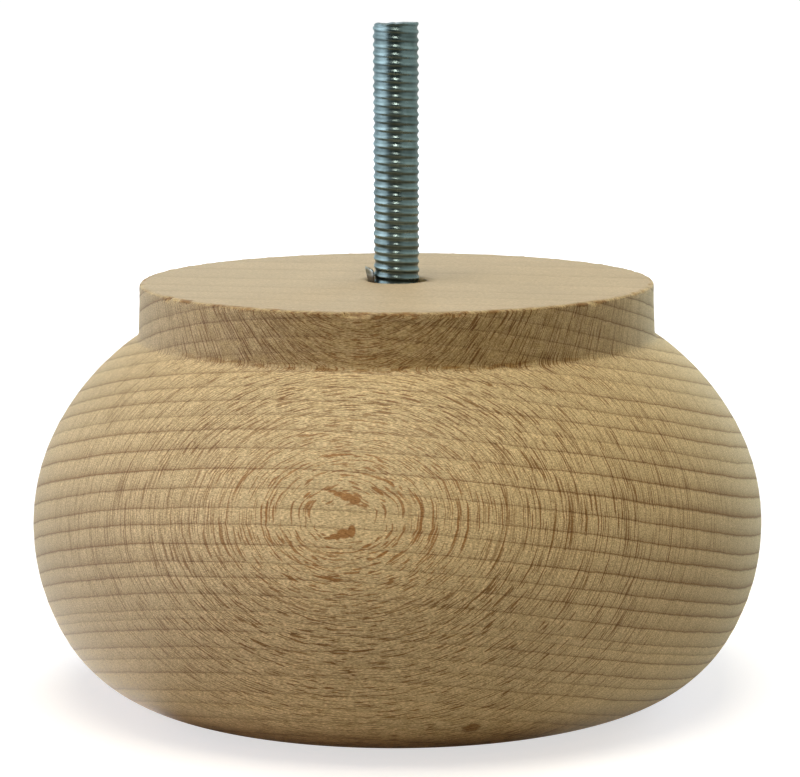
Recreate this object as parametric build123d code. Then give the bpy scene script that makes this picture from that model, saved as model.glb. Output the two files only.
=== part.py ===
from build123d import *
from math import acos, cos, degrees, radians, sin, tan
import os

# Turned wooden furniture foot with a threaded stud, in millimetres.
# The origin is the centre of the base, where the foot stands on the floor.
# +Z is the turning axis, and the stud points up into the piece of furniture.

# Turned body: overall sizes
FOOT_HEIGHT = 71.5          # base to top face, without the stud
BULGE_DIA = 127.0           # widest point of the turning, 5 in
TOP_DIA = 88.9              # flat face that meets the furniture, 3 1/2 in
COLLAR_FOOT_DIA = 89.6      # collar where it runs into the bulge; it flares a little on the way

# Turned body: outline of the bulge, tangent arcs from the base flat up to the collar
HEEL_RADIUS = 17.0          # three arcs of equal sweep lead up to the widest point
FLANK_RADIUS = 23.5
BELLY_RADIUS = 37.2
LOWER_SWEEP = 30.0
SHOULDER_RADIUS = 35.5      # two arcs lead from the widest point to the collar
SHOULDER_SWEEP = 28.0
NECK_RADIUS = 43.6
COVE_RADIUS = 1.8           # hollow left by the tool between collar and bulge
RIM_BREAK = 0.3             # sanded edge of the top face

# Hole for the insert, on the turning axis
BORE_DIA = 10.4
BORE_DEPTH = 30.0
DRILL_POINT_ANGLE = 118.0

# Threaded insert, screwed in just below the top face
INSERT_SETBACK = 0.8        # its top below the top face
INSERT_LENGTH = 16.0
INSERT_CHAMFER = 0.4

# Stud: a sawn length of 5/16-18 threaded rod
STUD_DIA = 7.94             # crests of the thread
STUD_PITCH_DIA = 7.02       # where the thread of the stud and that of the insert interlock
STUD_PROJECTION = 44.45     # free length above the top face, 1 3/4 in
STUD_ENGAGEMENT = 20.0      # length screwed in, from the top of the insert


def base_flat_radius():
    """Radius of the flat that stands on the floor, so that the arcs reach the bulge's width."""
    first = sin(radians(LOWER_SWEEP))
    second = sin(radians(2 * LOWER_SWEEP))
    reach = HEEL_RADIUS * first + FLANK_RADIUS * (second - first) + BELLY_RADIUS * (1 - second)
    return BULGE_DIA / 2 - reach


def neck_sweep():
    """Angle of the last arc, which ends where the outline is as wide as the collar's foot."""
    start = radians(SHOULDER_SWEEP)
    start_r = BULGE_DIA / 2 - SHOULDER_RADIUS * (1 - cos(start))
    end = acos(cos(start) - (start_r - COLLAR_FOOT_DIA / 2) / NECK_RADIUS)
    return degrees(end - start)


def turned_profile():
    """Half section of the bun: base flat, five arcs, cove, collar and top face."""
    with BuildSketch(Plane.XZ) as profile:
        with BuildLine():
            base = Line((0, 0), (base_flat_radius(), 0))
            heel = JernArc(base @ 1, base % 1, HEEL_RADIUS, LOWER_SWEEP)
            flank = JernArc(heel @ 1, heel % 1, FLANK_RADIUS, LOWER_SWEEP)
            belly = JernArc(flank @ 1, flank % 1, BELLY_RADIUS, LOWER_SWEEP)
            shoulder = JernArc(belly @ 1, belly % 1, SHOULDER_RADIUS, SHOULDER_SWEEP)
            neck = JernArc(shoulder @ 1, shoulder % 1, NECK_RADIUS, neck_sweep())
            collar = Line(neck @ 1, (TOP_DIA / 2, FOOT_HEIGHT))
            top = Line(collar @ 1, (0, FOOT_HEIGHT))
            Line(top @ 1, base @ 0)
        make_face()
        crease = profile.vertices().sort_by_distance(neck @ 1)[0]
        fillet(crease, COVE_RADIUS)
        rim = profile.vertices().sort_by_distance(collar @ 1)[0]
        chamfer(rim, RIM_BREAK)
    return profile.sketch


def drill_hole():
    """Space left by the drill: a blind hole down the turning axis with a pointed floor."""
    bore_r = BORE_DIA / 2
    floor = FOOT_HEIGHT - BORE_DEPTH
    tip = floor - bore_r / tan(radians(DRILL_POINT_ANGLE / 2))
    section = Polyline(
        (0, 0, FOOT_HEIGHT),
        (bore_r, 0, FOOT_HEIGHT),
        (bore_r, 0, floor),
        (0, 0, tip),
        close=True,
    )
    return revolve(make_face(section), Axis.Z, 360)


def turned_body():
    """The wood: one turning with the hole for the insert."""
    return revolve(turned_profile(), Axis.Z, 360) - drill_hole()


def threaded_insert():
    """The metal insert: a barrel tight in its hole, with a through thread for the stud."""
    middle = FOOT_HEIGHT - INSERT_SETBACK - INSERT_LENGTH / 2
    barrel = Pos(0, 0, middle) * Cylinder(BORE_DIA / 2, INSERT_LENGTH)
    barrel = chamfer(barrel.edges().filter_by(GeomType.CIRCLE), INSERT_CHAMFER)
    return barrel - Pos(0, 0, middle) * Cylinder(STUD_PITCH_DIA / 2, INSERT_LENGTH)


def stud():
    """The sawn rod: full diameter where it is free, pitch diameter where it is screwed in."""
    shoulder = FOOT_HEIGHT - INSERT_SETBACK
    free_length = INSERT_SETBACK + STUD_PROJECTION
    free = Pos(0, 0, shoulder + free_length / 2) * Cylinder(STUD_DIA / 2, free_length)
    screwed_middle = shoulder - STUD_ENGAGEMENT / 2
    screwed = Pos(0, 0, screwed_middle) * Cylinder(STUD_PITCH_DIA / 2, STUD_ENGAGEMENT)
    return free + screwed


os.makedirs("parts", exist_ok=True)

nodes = {
    "turned_body": turned_body(),
    "threaded_insert": threaded_insert(),
    "stud": stud(),
}
for name, shape in nodes.items():
    export_step(shape, f"parts/{name}.step")
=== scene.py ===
"""Turned beech furniture foot with a zinc-plated stud, dressed for the render.

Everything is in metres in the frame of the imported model: the origin is the centre
of the base, +Z is the turning axis, and -Y faces the camera. Sizes are named in
millimetres, as on a drawing, and are brought to metres where a mesh is made. An
azimuth is 0 at the front and grows to the right.
"""

import logging
import math
from dataclasses import dataclass
from enum import Enum
from typing import Any, Sequence, Union

import bpy
import numpy as np
from mathutils import Euler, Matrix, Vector


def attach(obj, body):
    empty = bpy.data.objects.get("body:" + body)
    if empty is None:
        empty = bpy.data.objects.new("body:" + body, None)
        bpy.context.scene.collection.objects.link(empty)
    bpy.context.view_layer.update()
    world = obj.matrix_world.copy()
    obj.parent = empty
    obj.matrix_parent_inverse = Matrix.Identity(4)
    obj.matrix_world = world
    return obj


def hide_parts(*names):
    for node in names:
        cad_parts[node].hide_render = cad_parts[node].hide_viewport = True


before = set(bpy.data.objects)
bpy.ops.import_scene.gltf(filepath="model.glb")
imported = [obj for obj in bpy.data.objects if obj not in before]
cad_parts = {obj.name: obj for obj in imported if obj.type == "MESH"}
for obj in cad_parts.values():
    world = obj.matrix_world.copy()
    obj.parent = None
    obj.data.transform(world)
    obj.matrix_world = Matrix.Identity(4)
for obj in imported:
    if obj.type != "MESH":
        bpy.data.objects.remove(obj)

MM = 0.001
BODY = "root"
log = logging.getLogger("foot")

Triple = tuple[float, float, float]
Span = tuple[float, float]  # where a change starts and where it ends
Limits = tuple[Span, Span]  # where a band begins and where it ends
Change = tuple[float, float, float, float]  # start and end, and the level at each

# Sizes of the turning, in millimetres
FOOT_HEIGHT = 71.5
BULGE_RADIUS = 63.5
TOP_RADIUS = 44.45
COLLAR_FOOT_RADIUS = 44.8
LOWER_ARCS = (17.0, 23.5, 37.2)  # heel, flank and belly, 30 degrees each
LOWER_SWEEP = math.radians(30.0)
SHOULDER_RADIUS = 35.5
SHOULDER_SWEEP = math.radians(28.0)
NECK_RADIUS = 43.6
COVE_RADIUS = 1.8
RIM_BREAK = 0.3
BORE_RADIUS = 5.2
BORE_FLOOR = 41.5
BORE_TIP = 38.38

# Sizes of the metal, in millimetres
STUD_RADIUS = 3.97
THREAD_PITCH = 25.4 / 18
STUD_TOP = 115.95
STUD_FOOT = 50.7
INSERT_TOP = 70.7
INSERT_LENGTH = 16.0

# Frame of the wood's grain, from the growth rings that the turning cuts through
GRAIN_ORIGIN = (-8.0, -60.7, 42.0)
GRAIN_RADIAL = (0.08283, 0.34033, 0.93665)
GRAIN_TANGENT = (-0.12189, -0.92936, 0.34846)
GRAIN_ALONG = (0.98908, -0.14303, -0.03550)

FULL_TURN = 2 * np.pi
NO_TRIANGLES = np.zeros((0, 3), int)


def linear(hex_colour: str) -> tuple[float, float, float, float]:
    """Turns an sRGB hex colour into linear RGBA.

    Args:
        hex_colour: six hex digits, such as "C7B692".

    Returns:
        Linear red, green and blue, and an alpha of 1.
    """
    parts = [int(hex_colour[i : i + 2], 16) / 255 for i in (0, 2, 4)]
    light = [p / 12.92 if p <= 0.04045 else ((p + 0.055) / 1.055) ** 2.4 for p in parts]
    return (light[0], light[1], light[2], 1.0)


def smooth(x: np.ndarray, low: float, high: float) -> np.ndarray:
    """Smoothstep: 0 below low, 1 above high, 3t^2 - 2t^3 between them."""
    t = np.clip((x - low) / (high - low), 0.0, 1.0)
    return t * t * (3 - 2 * t)


def ripple(x: np.ndarray, wave: float, seed: int, octaves: int = 4) -> np.ndarray:
    """Smooth irregular line: a sum of sines of falling wavelength and height.

    Octave i is 0.62^i (sin(k x + p) + sin(1.31 k x + q)) / 2, with k = 2 pi 1.9^i / wave
    and random phases p and q. The sum is divided by 1.5.

    Args:
        x: positions.
        wave: longest wavelength, in the unit of x.
        seed: picks the phases.
        octaves: number of sines.

    Returns:
        Values of about -1 to 1 with a mean of 0.
    """
    rng = np.random.default_rng(seed)
    phases = rng.uniform(0, FULL_TURN, (octaves, 3))
    total = np.zeros_like(x, dtype=float)
    for i in range(octaves):
        k = FULL_TURN / wave * 1.9**i
        part = np.sin(k * x + phases[i, 0]) + np.sin(1.31 * k * x + phases[i, 1])
        total += 0.62**i * part / 2
    return total / 1.5


@dataclass(frozen=True, eq=False)
class Pattern:
    """A number, colour, direction or finish that varies over a surface.

    It is one output of a node. Sums, differences and products of patterns and numbers
    are written as on numbers.
    """

    node: bpy.types.Node
    output: Union[int, str] = 0

    @property
    def tree(self) -> bpy.types.NodeTree:
        """The node tree that the pattern belongs to."""
        return self.node.id_data

    @property
    def socket(self) -> bpy.types.NodeSocket:
        """The socket that others link from."""
        return self.node.outputs[self.output]

    def __add__(self, other: "Level") -> "Pattern":
        """The sum of both."""
        return add_node(self.tree, "Math", (self, other), operation="ADD")

    def __sub__(self, other: "Level") -> "Pattern":
        """This pattern less the other."""
        return add_node(self.tree, "Math", (self, other), operation="SUBTRACT")

    def __rsub__(self, other: float) -> "Pattern":
        """The number less this pattern."""
        return add_node(self.tree, "Math", (other, self), operation="SUBTRACT")

    def __mul__(self, other: "Level") -> "Pattern":
        """The product of both."""
        return add_node(self.tree, "Math", (self, other), operation="MULTIPLY")


Level = Union[Pattern, float]
Layer = tuple[Level, Any]  # how much of a tint there is, and the tint


def add_node(
    tree: bpy.types.NodeTree,
    kind: str,
    inputs: Union[Sequence[Any], dict[Any, Any]] = (),
    output: Union[int, str] = 0,
    **settings: Any,
) -> Pattern:
    """Adds a node with its settings and links.

    Args:
        tree: the node tree.
        kind: the node's type without its "ShaderNode" in front.
        inputs: values or patterns, in the order of the sockets or by name or number.
        output: name or number of the output that is wanted.
        settings: the node's own properties.

    Returns:
        The wanted output.
    """
    node = tree.nodes.new("ShaderNode" + kind)
    for name, value in settings.items():
        setattr(node, name, value)
    named = inputs if isinstance(inputs, dict) else dict(enumerate(inputs))
    for key, value in named.items():
        if isinstance(value, Pattern):
            tree.links.new(value.socket, node.inputs[key])
        else:
            node.inputs[key].default_value = value
    return Pattern(node, output)


def new_material(name: str) -> tuple[bpy.types.Material, bpy.types.NodeTree]:
    """Makes an empty node material.

    Args:
        name: what the real material is.

    Returns:
        The material and its tree.
    """
    material = bpy.data.materials.new(name)
    material.use_nodes = True
    material.node_tree.nodes.clear()
    return material, material.node_tree


def set_curve(curve: bpy.types.CurveMap, points: Sequence[Span]) -> None:
    """Gives a float curve its points, joined by straight lines.

    Args:
        curve: the curve.
        points: x and y of each, from left to right.
    """
    while len(curve.points) > 2:
        curve.points.remove(curve.points[1])
    curve.points[0].location, curve.points[1].location = points[0], points[-1]
    for x, y in points[1:-1]:
        curve.points.new(x, y)
    for point in curve.points:
        point.handle_type = "VECTOR"


def set_ramp(ramp: bpy.types.ColorRamp, stops: Sequence[Span]) -> None:
    """Gives a colour ramp its grey stops.

    Args:
        ramp: the ramp.
        stops: position and level of each.
    """
    while len(ramp.elements) > 1:
        ramp.elements.remove(ramp.elements[0])
    ramp.elements[0].position = stops[0][0]
    ramp.elements[0].color = (stops[0][1],) * 3 + (1.0,)
    for position, level in stops[1:]:
        ramp.elements.new(position).color = (level, level, level, 1.0)


def highest(patterns: Sequence[Pattern]) -> Pattern:
    """The highest of several patterns at each place.

    Args:
        patterns: one or more, all in one node tree.

    Returns:
        Their maximum.
    """
    top = patterns[0]
    for pattern in patterns[1:]:
        top = add_node(top.tree, "Math", (top, pattern), operation="MAXIMUM")
    return top


def band(value: Pattern, rise: Span, fall: Span) -> Pattern:
    """A band with soft edges.

    Args:
        value: what is measured, such as a height.
        rise: where the band begins to show and where it is full.
        fall: where it begins to fade and where it is gone.

    Returns:
        1 inside the band and 0 outside it.
    """
    begun = add_node(value.tree, "MapRange", (value, *rise))
    left = add_node(value.tree, "MapRange", (value, *fall, 1.0, 0.0))
    return begun * left


def from_centre(place: Pattern, centre: Triple, half: Triple) -> Pattern:
    """Distance from an ellipsoid's centre, in units that make its surface 1.

    Args:
        place: the point.
        centre: the ellipsoid's centre.
        half: its half sizes.

    Returns:
        Length of (place - centre) / half.
    """
    inverse = tuple(1 / h for h in half)
    offset = tuple(-x / h for x, h in zip(centre, half))
    local = add_node(
        place.tree, "VectorMath", (place, inverse, offset), operation="MULTIPLY_ADD"
    )
    return add_node(place.tree, "VectorMath", (local,), "Value", operation="LENGTH")


def mesh_object(
    name: str, points: np.ndarray, quads: np.ndarray, triangles: np.ndarray = NO_TRIANGLES
) -> bpy.types.Object:
    """Makes a smooth-shaded mesh piece from arrays.

    Args:
        name: the piece's name.
        points: n by 3, in metres.
        quads: m by 4.
        triangles: k by 3, such as those round a pole.

    Returns:
        The new object, linked to the scene.
    """
    mesh = bpy.data.meshes.new(name)
    loops = np.concatenate([quads.ravel(), triangles.ravel()]).astype(np.int32)
    sizes = np.concatenate([np.full(len(quads), 4), np.full(len(triangles), 3)])
    starts = np.concatenate([[0], np.cumsum(sizes)[:-1]]).astype(np.int32)
    mesh.vertices.add(len(points))
    mesh.vertices.foreach_set("co", points.astype(np.float32).ravel())
    mesh.loops.add(len(loops))
    mesh.loops.foreach_set("vertex_index", loops)
    mesh.polygons.add(len(sizes))
    mesh.polygons.foreach_set("loop_start", starts)
    mesh.polygons.foreach_set("use_smooth", np.ones(len(sizes), bool))
    mesh.update(calc_edges=True)
    mesh.validate()
    piece = bpy.data.objects.new(name, mesh)
    bpy.context.scene.collection.objects.link(piece)
    return piece


def grid_quads(
    rows: int, columns: int, join_rows: bool = False, join_columns: bool = False
) -> np.ndarray:
    """Quads of a grid of points, numbered row by row.

    Args:
        rows: number of rows.
        columns: number of points in a row.
        join_rows: whether the last row is joined to the first.
        join_columns: whether the end of each row is joined to its start.

    Returns:
        One quad a line, its corners in order round it.
    """
    row, column = np.mgrid[0 : rows - (not join_rows), 0 : columns - (not join_columns)]
    above, after = (row + 1) % rows, (column + 1) % columns
    corners = [
        row * columns + column,
        row * columns + after,
        above * columns + after,
        above * columns + column,
    ]
    return np.stack(corners, -1).reshape(-1, 4)


def round_points(radii: np.ndarray, heights: np.ndarray, azimuths: np.ndarray) -> np.ndarray:
    """Points (r sin a, -r cos a, z), so that azimuth 0 is at the front.

    Args:
        radii: rows by azimuths, or what broadcasts to that.
        heights: the same.
        azimuths: angles in radians.

    Returns:
        Rows by azimuths by 3, in the unit of the radii.
    """
    x, y, z = np.broadcast_arrays(radii * np.sin(azimuths), -radii * np.cos(azimuths), heights)
    return np.stack([x, y, z], -1)


def lathe(
    radii: np.ndarray, heights: np.ndarray, azimuths: np.ndarray
) -> tuple[np.ndarray, np.ndarray, np.ndarray]:
    """Closed surface of revolution whose radius and height may vary with azimuth.

    The rows run from the lower pole outwards and up to the upper pole, and each pole
    is one point at the mean height of the row beside it.

    Args:
        radii: rows by azimuths, in millimetres, without the poles.
        heights: the same shape.
        azimuths: angles in radians.

    Returns:
        Points in metres, quads and the poles' triangles.
    """
    rows, count = radii.shape
    grid = round_points(radii, heights, azimuths)
    poles = np.array([[0.0, 0.0, heights[0].mean()], [0.0, 0.0, heights[-1].mean()]])
    points = np.concatenate([grid.reshape(-1, 3), poles]) * MM
    here = np.arange(count)
    after = (here + 1) % count
    last = (rows - 1) * count
    low = np.stack([np.full(count, rows * count), after, here], -1)
    high = np.stack([np.full(count, rows * count + 1), last + here, last + after], -1)
    return points, grid_quads(rows, count, join_columns=True), np.concatenate([low, high])


def dress(piece: bpy.types.Object, material: bpy.types.Material, node: str) -> None:
    """Gives a new piece what the frame has to know, and reports it.

    Args:
        piece: the piece.
        material: its finish.
        node: the CAD node that it stands for, or nothing.
    """
    piece.data.materials.append(material)
    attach(piece, BODY)
    if node:
        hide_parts(node)
    log.info("%s: %d faces", piece.name, len(piece.data.polygons))


@dataclass(frozen=True)
class RimChip:
    """A place where the rim between the top face and the collar has broken away."""

    azimuth: float  # degrees
    width: float  # along the rim, mm
    depth: float  # inwards on the top face, mm
    drop: float  # down the collar, mm

    def bite(self, azimuths: np.ndarray) -> np.ndarray:
        """How much of the chip there is at each azimuth.

        Args:
            azimuths: angles in radians.

        Returns:
            1 in the chip, falling to 0 over its ragged ends.
        """
        apart = np.angle(np.exp(1j * (azimuths - math.radians(self.azimuth))))
        share = apart * TOP_RADIUS / (self.width / 2)
        ragged = 0.25 * ripple(azimuths * TOP_RADIUS, 1.3, 17)
        return smooth(1.15 + ragged - np.abs(share), 0.0, 0.55)


@dataclass
class TurnedBody:
    """The wood: one turning of beech with the hole for the insert."""

    azimuths: int = 600
    front_gather: float = 0.35  # how much closer the points stand at the front
    base_rows: tuple[float, ...] = (0.4, 0.8, 0.97, 1.0)  # shares of the flat's radius
    lower_steps: tuple[int, int, int] = (14, 16, 22)  # heel, flank and belly
    shoulder_steps: int = 18
    neck_steps: int = 26
    cove_gap: float = 1.3  # length of neck and of collar that the hollow takes, mm
    cove_steps: int = 9
    collar_steps: int = 15
    rows_below_rim: tuple[float, ...] = (1.2, 0.9, 0.7, 0.5, 0.36, RIM_BREAK)  # mm
    rows_inside_rim: tuple[float, ...] = (
        0.0, 0.14, 0.3, 0.5, 0.75, 1.05, 1.5, 2.2, 3.4, 5.5, 9.0, 15.0, 22.0, 29.0, 35.0, 38.0,
    )  # mm
    bore_lip: tuple[Span, ...] = ((0.35, 0.0), (0.12, 0.03), (0.03, 0.12), (0.0, 0.35))
    bore_rows: tuple[float, ...] = (64.0, 50.0, BORE_FLOOR)  # heights, mm
    rim_falloff: float = 0.42  # distance in which the broken rim runs out, mm
    inward_share: float = 0.6  # how much of the rim's loss goes inwards
    side_loss: float = 0.06  # mean depth that lathe and sanding took off the sides, mm
    uneven_up: float = 0.035  # how far that varies up the sides, mm
    uneven_round: float = 0.05  # and round them
    uneven_from: Span = (2.0, 8.0)  # heights between which it begins, mm
    uneven_to: Span = (69.5, 70.5)  # heights between which it ends
    chips: tuple[RimChip, ...] = (
        RimChip(-8.0, 4.6, 0.40, 0.30),
        RimChip(-10.6, 1.4, 0.30, 0.22),
        RimChip(-59.0, 2.6, 0.25, 0.40),
        RimChip(-55.5, 1.2, 0.15, 0.25),
        RimChip(47.0, 2.6, 0.20, 0.25),
        RimChip(12.0, 2.0, 0.18, 0.12),
        RimChip(3.0, 2.6, 0.15, 0.15),
        RimChip(-31.0, 1.6, 0.10, 0.12),
    )

    def arc(
        self, start: np.ndarray, angle: float, radius: float, sweep: float, steps: int
    ) -> np.ndarray:
        """Tangent arc that turns left.

        The point after an angle t is start + R (sin(a + t) - sin a, cos a - cos(a + t)).

        Args:
            start: first point, r and z.
            angle: direction of travel at the start, radians from +r.
            radius: of the arc.
            sweep: angle turned.
            steps: number of points after the first.

        Returns:
            steps by 2 points.
        """
        t = angle + np.linspace(0, sweep, steps + 1)[1:]
        r = start[0] + radius * (np.sin(t) - math.sin(angle))
        z = start[1] + radius * (math.cos(angle) - np.cos(t))
        return np.stack([r, z], -1)

    def collar_lean(self, crease: np.ndarray) -> float:
        """How far the collar moves outwards for each millimetre up."""
        return (TOP_RADIUS - crease[0]) / (FOOT_HEIGHT - crease[1])

    def cove(self, crease: np.ndarray, angle: float) -> np.ndarray:
        """Hollow between the bulge and the collar, tangent to both.

        It is the curve (1 - t)^2 first + 2 t (1 - t) crease + t^2 last, with first and
        last where an arc of the cove's radius would touch.

        Args:
            crease: the corner that the hollow rounds, r and z.
            angle: direction of travel on the bulge at the corner.

        Returns:
            Points along the hollow.
        """
        before = np.array([math.cos(angle), math.sin(angle)])
        lean = self.collar_lean(crease)
        after = np.array([lean, 1.0]) / math.hypot(lean, 1.0)
        turn = math.acos(float(before @ after))
        reach = COVE_RADIUS * math.tan(turn / 2)
        t = np.linspace(0, 1, self.cove_steps)[:, None]
        first, last = crease - reach * before, crease + reach * after
        return (1 - t) ** 2 * first + 2 * t * (1 - t) * crease + t**2 * last

    def bulge(self) -> tuple[list[np.ndarray], np.ndarray]:
        """Outline from the base's centre up to the end of the hollow.

        Returns:
            The runs of points, and the corner where bulge and collar would meet.
        """
        sines = [math.sin(k * LOWER_SWEEP) for k in (0, 1, 2, 3)]
        reach = sum(radius * (sines[k + 1] - sines[k]) for k, radius in enumerate(LOWER_ARCS))
        flat = BULGE_RADIUS - reach
        base = flat * np.array(self.base_rows)
        runs = [np.stack([base, np.zeros(len(base))], -1)]
        angle = 0.0
        for radius, steps in zip(LOWER_ARCS, self.lower_steps):
            runs.append(self.arc(runs[-1][-1], angle, radius, LOWER_SWEEP, steps))
            angle += LOWER_SWEEP
        runs.append(
            self.arc(runs[-1][-1], angle, SHOULDER_RADIUS, SHOULDER_SWEEP, self.shoulder_steps)
        )
        angle += SHOULDER_SWEEP
        neck_turn = (runs[-1][-1][0] - COLLAR_FOOT_RADIUS) / NECK_RADIUS
        sweep = math.acos(math.cos(SHOULDER_SWEEP) - neck_turn) - SHOULDER_SWEEP
        neck = self.arc(runs[-1][-1], angle, NECK_RADIUS, sweep, self.neck_steps)
        crease = neck[-1]
        runs.append(neck[np.hypot(*(neck - crease).T) > self.cove_gap])
        runs.append(self.cove(crease, angle + sweep))
        return runs, crease

    def profile(self) -> tuple[np.ndarray, np.ndarray]:
        """Outline of the turning from the base's centre to the bore's floor.

        Returns:
            Radii and heights in millimetres.
        """
        runs, crease = self.bulge()
        up = np.linspace(crease[1] + self.cove_gap, FOOT_HEIGHT - 1.6, self.collar_steps)
        heights = np.concatenate([up, FOOT_HEIGHT - np.array(self.rows_below_rim)])
        lean = self.collar_lean(crease)
        runs.append(np.stack([crease[0] + lean * (heights - crease[1]), heights], -1))
        rim = TOP_RADIUS - RIM_BREAK
        runs.append(np.array([[rim + 0.62 * RIM_BREAK, FOOT_HEIGHT - 0.5 * RIM_BREAK]]))
        face = rim - np.array(self.rows_inside_rim)
        runs.append(np.stack([face, np.full(len(face), FOOT_HEIGHT)], -1))
        lip = [[BORE_RADIUS + out, FOOT_HEIGHT - down] for out, down in self.bore_lip]
        runs.append(np.array(lip))
        runs.append(np.array([[BORE_RADIUS, height] for height in self.bore_rows]))
        runs.append(np.array([[1.0, BORE_TIP + 0.6]]))
        line = np.concatenate(runs)
        return line[:, 0], line[:, 1]

    def rim_loss(self, azimuths: np.ndarray) -> tuple[np.ndarray, np.ndarray]:
        """How much of the rim has broken away at each azimuth.

        It is an even loss of a few hundredths of a millimetre with ripples, and the
        chips on top of it.

        Args:
            azimuths: angles in radians.

        Returns:
            Depth inwards and drop downwards, in millimetres.
        """
        along = azimuths * TOP_RADIUS  # mm along the rim, 0 at the front
        depth = 0.05 * (1 + ripple(along, 9.0, 3)) + 0.05 * np.clip(ripple(along, 2.2, 5), 0, 1)
        drop = 0.08 * (1 + ripple(along, 7.0, 8)) + 0.05 * np.clip(ripple(along, 1.7, 9), 0, 1)
        for chip in self.chips:
            bite = chip.bite(azimuths)
            depth = depth + chip.depth * bite
            drop = drop + chip.drop * bite
        return depth, drop

    def build(self, material: bpy.types.Material) -> bpy.types.Object:
        """Turns the outline, breaks the rim and makes the sides a little uneven.

        Near the rim a point moves inwards by 0.6 of the rim's loss and down by all of
        it, times a falloff of exp(-(distance / 0.42 mm)^2) from the edge.

        Args:
            material: the wood.

        Returns:
            The piece.
        """
        u = np.arange(self.azimuths) * FULL_TURN / self.azimuths
        azimuths = u - self.front_gather * np.sin(u)
        r, z = self.profile()
        radii = np.repeat(r[:, None], self.azimuths, 1)
        heights = np.repeat(z[:, None], self.azimuths, 1)

        on_face = z >= FOOT_HEIGHT - 0.01
        from_rim = np.where(on_face, TOP_RADIUS - RIM_BREAK - r, FOOT_HEIGHT - RIM_BREAK - z)
        falloff = np.exp(-((np.clip(from_rim, 0, None) / self.rim_falloff) ** 2))
        # Only the collar and the outer part of the top face lie near the rim
        near = np.where((r > 35.0) & (z > 62.5), falloff, 0.0)[:, None]
        depth, drop = self.rim_loss(azimuths)
        radii = radii - near * depth * self.inward_share
        heights = heights - near * drop

        begun, ended = smooth(z, *self.uneven_from), smooth(z, *self.uneven_to)
        side = begun * (1 - ended) * (r > 40)
        wave = self.uneven_up * ripple(z, 4.3, 21)[:, None]
        wave = wave + self.uneven_round * ripple(azimuths * 3.0, FULL_TURN, 22, 2)
        radii = radii - side[:, None] * np.clip(self.side_loss + wave, 0, None)
        piece = mesh_object("foot_turning", *lathe(radii, heights, azimuths))
        dress(piece, material, "turned_body")
        return piece


@dataclass
class ThreadedStud:
    """A sawn length of 5/16-18 rod, with its thread as a helical surface."""

    around: int = 96
    rows_a_turn: int = 11
    depth: float = 0.25  # crest to root, mm
    crest: float = 1.25  # power that makes the roots wider than the crests
    first_turn: float = 0.30  # where on the turn the thread stands at the front
    lead_in: float = 1.5  # length of the narrowed lower end, mm
    saw_dip: float = 0.28  # depth of the saw's dents in the sawn end, mm

    def thread_radius(self, turns: np.ndarray) -> np.ndarray:
        """Radius for a place along the thread, which rolling and plating have rounded.

        r = R - depth (1 - w^1.25), where w = 1/2 - cos(2 pi t) / 2 is 0 in the middle of
        a root and 1 on a crest.

        Args:
            turns: place in turns; a whole number is the middle of a root.

        Returns:
            Radii in millimetres.
        """
        wave = 0.5 - 0.5 * np.cos(FULL_TURN * turns)
        return STUD_RADIUS - self.depth * (1 - wave**self.crest)

    def saw_cut(self, x: np.ndarray, y: np.ndarray) -> np.ndarray:
        """How far the sawn end stands above or below its level at each place.

        A slope of 0.05 mm, two dents exp(-((x - middle) / width)^2) that are deeper at
        the front, and a worn edge at the left.

        Args:
            x: to the right, mm.
            y: to the back, mm.

        Returns:
            Heights in millimetres.
        """
        dents = np.exp(-(((x + 1.9) / 0.8) ** 2)) + 0.5 * np.exp(-(((x - 0.2) / 0.4) ** 2))
        deeper = 0.7 + 0.3 * smooth(-y, -2.5, 2.0)
        worn_edge = 0.22 * smooth(-x, 3.3, 3.9)
        return 0.05 * x / STUD_RADIUS - self.saw_dip * dents * deeper - worn_edge

    def build(self, material: bpy.types.Material) -> bpy.types.Object:
        """Sweeps the thread from the insert up to the sawn end.

        Height runs over rows and the angle over columns: r = thread(z / pitch + a / 2 pi).

        Args:
            material: the metal.

        Returns:
            The piece.
        """
        rows = int((STUD_TOP - STUD_FOOT) / THREAD_PITCH * self.rows_a_turn)
        a = np.arange(self.around) * FULL_TURN / self.around
        z = np.linspace(STUD_FOOT + 0.05, STUD_TOP - 0.12, rows)[:, None] + 0 * a
        radii = self.thread_radius(z / THREAD_PITCH + a / FULL_TURN + self.first_turn)
        # The lower end narrows to 0.78 of the radius, and the crests are worn by 0.02 mm
        radii = radii * (0.78 + 0.22 * smooth(z, STUD_FOOT, STUD_FOOT + self.lead_in))
        worn = 0.02 * ripple(z[:, :1], 17.0, 31) + 0.012 * ripple(a * 2.0, FULL_TURN, 33, 2)
        radii = np.minimum(radii - 0.02 + worn, STUD_RADIUS)
        cut = self.saw_cut(radii * np.sin(a), -radii * np.cos(a)) - 0.05
        z = z + smooth(z, STUD_TOP - 0.9, STUD_TOP - 0.1) * cut
        # Rings that close the sawn end over its burr and close the lower end
        end_r = radii[-1] * np.array([[0.995], [0.96], [0.8], [0.45]])
        saw = 0.04 * ripple(end_r * np.sin(a), 1.1, 41, 3)
        end_z = np.minimum(z[-1] + np.array([[0.03], [0.06], [0.03], [0.0]]) + saw, STUD_TOP)
        low_r = radii[0] * np.array([[0.3], [0.9]])
        low_z = np.full(low_r.shape, STUD_FOOT)
        all_radii = np.concatenate([low_r, radii, end_r])
        all_heights = np.concatenate([low_z, z, end_z])
        piece = mesh_object("stud_thread", *lathe(all_radii, all_heights, a))
        dress(piece, material, "stud")
        return piece


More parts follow.
